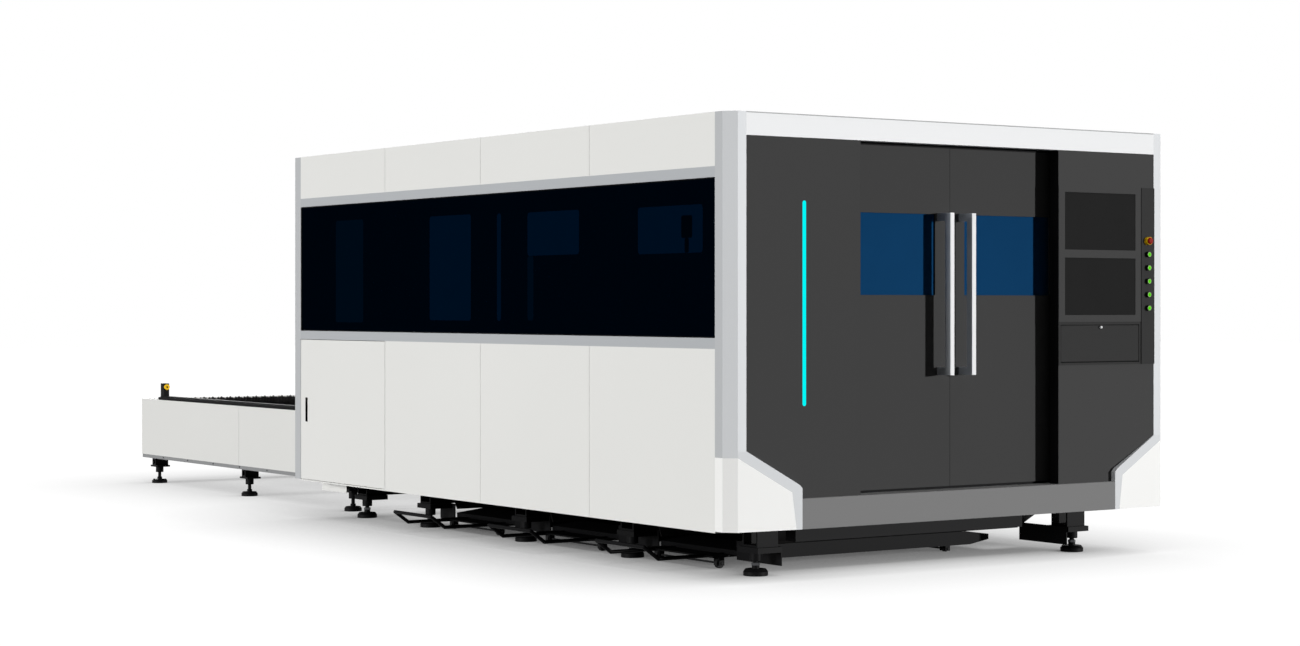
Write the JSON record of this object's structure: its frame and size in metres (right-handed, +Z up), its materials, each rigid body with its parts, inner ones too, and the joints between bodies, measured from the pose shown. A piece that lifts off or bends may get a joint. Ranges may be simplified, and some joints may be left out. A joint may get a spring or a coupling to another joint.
{
  "type": "fiber laser cutting machine",
  "caption": "Enclosed flat-bed laser cutter with sliding front doors, operator console, internal gantry head, pull-out scrap trolleys and a rear pallet exchange table.",
  "frame": {"origin": "middle of the footprint, on the floor", "axes": "+Z up, +Y from the operator's front towards the far end of the exchange table, +X to the operator's right"},
  "size_m": [2.86, 8.039, 2.2],
  "materials": {
    "white_paint": "satin powder coat",
    "grey_trim": "satin grey paint",
    "dark_paint": "fine matt powder coat",
    "black_steel": "black paint",
    "sill_paint": "satin grey paint",
    "side_glass": "dark laser-proof glass",
    "door_glass": "blue laser-proof glass",
    "glow": "lit light strip",
    "screen": "dark screen",
    "handle": "satin",
    "bare_steel": "ground",
    "collar": "bright",
    "green_cap": "gloss",
    "red_cap": "gloss",
    "yellow": "gloss",
    "black_plastic": "matt",
    "wheel": "matt",
    "machined": "machined"
  },
  "bodies": {
    "machine": {"bed_frame": "black_steel", "levelling_feet": "black_steel", "scrap_chutes": "bare_steel", "gantry_rails": "bare_steel", "base_rails": "black_steel", "corner_posts": "grey_trim", "side_panels": "white_paint", "window_bands": "grey_trim", "side_windows": "side_glass", "roof_panels": "white_paint", "rear_wall": "white_paint", "front_fascia": "white_paint", "front_left_panel": "dark_paint", "led_strip": "glow", "console_panel": "dark_paint", "monitor_surround": "dark_paint", "monitors": "screen", "button_strip": "dark_paint", "button_collars": "collar", "stop_base": "yellow", "sill": "sill_paint", "bumper_corners": "white_paint", "door_rails": "bare_steel", "table_frame": "grey_trim", "table_panels": "white_paint", "table_rails": "black_steel", "table_feet": "black_steel", "exchange_drive": "black_steel", "light_barriers": "black_plastic", "barrier_rings": "yellow"},
    "upper_pallet": {"upper_pallet_frame": "black_steel", "upper_pallet_slats": "bare_steel"},
    "lower_pallet": {"lower_pallet_frame": "black_steel", "lower_pallet_slats": "bare_steel"},
    "gantry": {"gantry_beam": "machined"},
    "carriage": {"carriage": "black_steel"},
    "head": {"cutting_head": "machined"},
    "left_door": {"left_door": "dark_paint", "left_door_glass": "door_glass", "left_door_handle": "handle"},
    "right_door": {"right_door": "dark_paint", "right_door_glass": "door_glass", "right_door_handle": "handle"},
    "flap": {"keyboard_flap": "dark_paint", "keyboard": "black_plastic", "flap_knob": "collar"},
    "stop": {"emergency_stop": "red_cap"},
    "service_door": {"service_door": "white_paint", "service_door_pull": "black_plastic"},
    "button_1": {"push_button_1": "green_cap"},
    "button_2": {"push_button_2": "green_cap"},
    "button_3": {"push_button_3": "green_cap"},
    "button_4": {"push_button_4": "green_cap"},
    "button_5": {"push_button_5": "green_cap"},
    "trolley_1": {"trolley_1": "black_steel"},
    "trolley_1_outer": {"trolley_1_outer_wheels": "wheel"},
    "trolley_1_inner": {"trolley_1_inner_wheels": "wheel"},
    "trolley_2": {"trolley_2": "black_steel"},
    "trolley_2_outer": {"trolley_2_outer_wheels": "wheel"},
    "trolley_2_inner": {"trolley_2_inner_wheels": "wheel"},
    "trolley_3": {"trolley_3": "black_steel"},
    "trolley_3_outer": {"trolley_3_outer_wheels": "wheel"},
    "trolley_3_inner": {"trolley_3_inner_wheels": "wheel"}
  },
  "joints": [
    {"name": "upper_pallet_slide", "type": "slide", "parent": "machine", "child": "upper_pallet", "axis": [0, -1, 0], "range_m": [0, 3.9405]},
    {"name": "lower_pallet_slide", "type": "slide", "parent": "machine", "child": "lower_pallet", "axis": [0, 1, 0], "range_m": [0, 3.9405]},
    {"name": "gantry_slide", "type": "slide", "parent": "machine", "child": "gantry", "axis": [0, 1, 0], "range_m": [0, 2.8]},
    {"name": "carriage_slide", "type": "slide", "parent": "gantry", "child": "carriage", "axis": [1, 0, 0], "range_m": [0, 1.3]},
    {"name": "head_slide", "type": "slide", "parent": "carriage", "child": "head", "axis": [0, 0, -1], "range_m": [0, 0.21]},
    {"name": "left_door_slide", "type": "slide", "parent": "machine", "child": "left_door", "axis": [-1, 0, 0], "range_m": [0, 0.54]},
    {"name": "right_door_slide", "type": "slide", "parent": "machine", "child": "right_door", "axis": [1, 0, 0], "range_m": [0, 0.54]},
    {"name": "flap_hinge", "type": "hinge", "parent": "machine", "child": "flap", "pos_m": [0.94225, -3.983, 1.014], "axis": [1, 0, 0], "range_deg": [0, 90]},
    {"name": "service_door_hinge", "type": "hinge", "parent": "machine", "child": "service_door", "pos_m": [-1.423, -0.64825, 0.67], "axis": [0, 0, 1], "range_deg": [0, 110]},
    {"name": "stop_press", "type": "slide", "parent": "machine", "child": "stop", "axis": [0, 1, 0], "range_m": [0, 0.006], "stiffness_N_per_m": 600},
    {"name": "button_1_press", "type": "slide", "parent": "machine", "child": "button_1", "axis": [0, 1, 0], "range_m": [0, 0.004], "stiffness_N_per_m": 400},
    {"name": "button_2_press", "type": "slide", "parent": "machine", "child": "button_2", "axis": [0, 1, 0], "range_m": [0, 0.004], "stiffness_N_per_m": 400},
    {"name": "button_3_press", "type": "slide", "parent": "machine", "child": "button_3", "axis": [0, 1, 0], "range_m": [0, 0.004], "stiffness_N_per_m": 400},
    {"name": "button_4_press", "type": "slide", "parent": "machine", "child": "button_4", "axis": [0, 1, 0], "range_m": [0, 0.004], "stiffness_N_per_m": 400},
    {"name": "button_5_press", "type": "slide", "parent": "machine", "child": "button_5", "axis": [0, 1, 0], "range_m": [0, 0.004], "stiffness_N_per_m": 400},
    {"name": "trolley_1_pull", "type": "slide", "parent": "machine", "child": "trolley_1", "axis": [-1, 0, 0], "range_m": [0, 1.6]},
    {"name": "trolley_1_outer_roll", "type": "hinge", "parent": "trolley_1", "child": "trolley_1_outer", "pos_m": [-0.992, -3.049, 0.025], "axis": [0, 1, 0], "continuous": true},
    {"name": "trolley_1_inner_roll", "type": "hinge", "parent": "trolley_1", "child": "trolley_1_inner", "pos_m": [0.48, -3.049, 0.016], "axis": [0, 1, 0], "continuous": true},
    {"name": "trolley_2_pull", "type": "slide", "parent": "machine", "child": "trolley_2", "axis": [-1, 0, 0], "range_m": [0, 1.6]},
    {"name": "trolley_2_outer_roll", "type": "hinge", "parent": "trolley_2", "child": "trolley_2_outer", "pos_m": [-0.992, -1.999, 0.025], "axis": [0, 1, 0], "continuous": true},
    {"name": "trolley_2_inner_roll", "type": "hinge", "parent": "trolley_2", "child": "trolley_2_inner", "pos_m": [0.48, -1.999, 0.016], "axis": [0, 1, 0], "continuous": true},
    {"name": "trolley_3_pull", "type": "slide", "parent": "machine", "child": "trolley_3", "axis": [-1, 0, 0], "range_m": [0, 1.6]},
    {"name": "trolley_3_outer_roll", "type": "hinge", "parent": "trolley_3", "child": "trolley_3_outer", "pos_m": [-0.992, -0.949, 0.025], "axis": [0, 1, 0], "continuous": true},
    {"name": "trolley_3_inner_roll", "type": "hinge", "parent": "trolley_3", "child": "trolley_3_inner", "pos_m": [0.48, -0.949, 0.016], "axis": [0, 1, 0], "continuous": true}
  ],
  "couplings": [
    {"joint": "lower_pallet_slide", "follows": "upper_pallet_slide", "ratio": 1}
  ]
}
